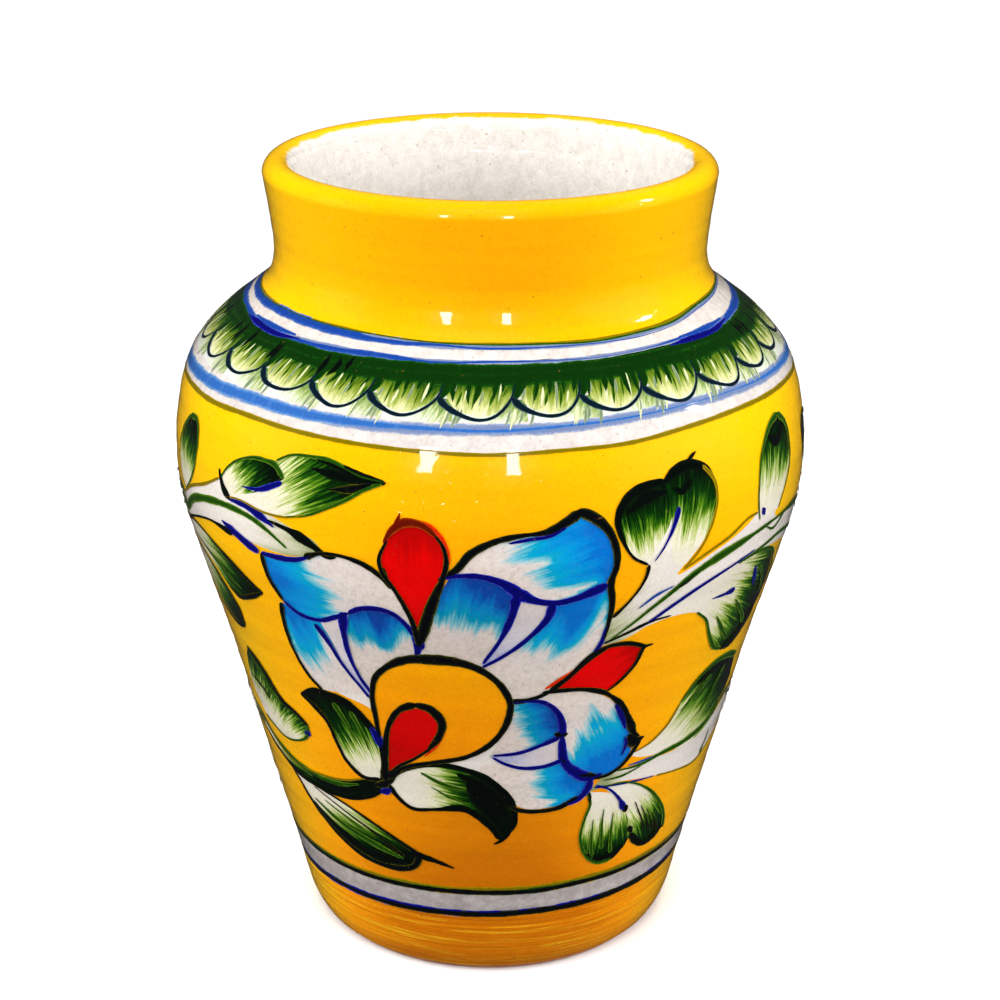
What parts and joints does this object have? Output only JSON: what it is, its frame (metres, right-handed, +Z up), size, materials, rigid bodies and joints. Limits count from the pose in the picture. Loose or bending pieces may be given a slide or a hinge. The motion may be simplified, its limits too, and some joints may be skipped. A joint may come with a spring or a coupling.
{
  "type": "vase",
  "caption": "Hand-turned glazed earthenware vase with a round shoulder, short wide neck, rolled lip and turned foot ring",
  "frame": {"origin": "centre of the ground contact of the foot ring", "axes": "+Z up along the turning axis, -Y towards the front of the painted flower, +X to the viewer's right"},
  "size_m": [0.1178, 0.1178, 0.15],
  "materials": {
    "bare_clay": "bare fired terracotta on the foot ring and underside",
    "fired_clay": "fired terracotta body, covered by glaze",
    "tin_white_inside": "glossy speckled off-white tin glaze",
    "neck_yellow": "glossy warm yellow glaze",
    "band_white": "glossy off-white glaze with painted green lappets and blue lines",
    "belly_yellow": "glossy warm yellow glaze with painted flowers and leaves",
    "stripe_white": "glossy off-white painted stripe",
    "foot_yellow": "glossy warm yellow glaze over fine turning lines"
  },
  "bodies": {
    "root": {"foot_base": "bare_clay", "belly_wall": "fired_clay", "shoulder_wall": "fired_clay", "shoulder_turn": "fired_clay", "neck_collar": "fired_clay", "interior_glaze": "tin_white_inside", "neck_glaze": "neck_yellow", "shoulder_band_glaze": "band_white", "belly_glaze": "belly_yellow", "foot_stripe_glaze": "stripe_white", "foot_glaze": "foot_yellow"}
  },
  "joints": []
}
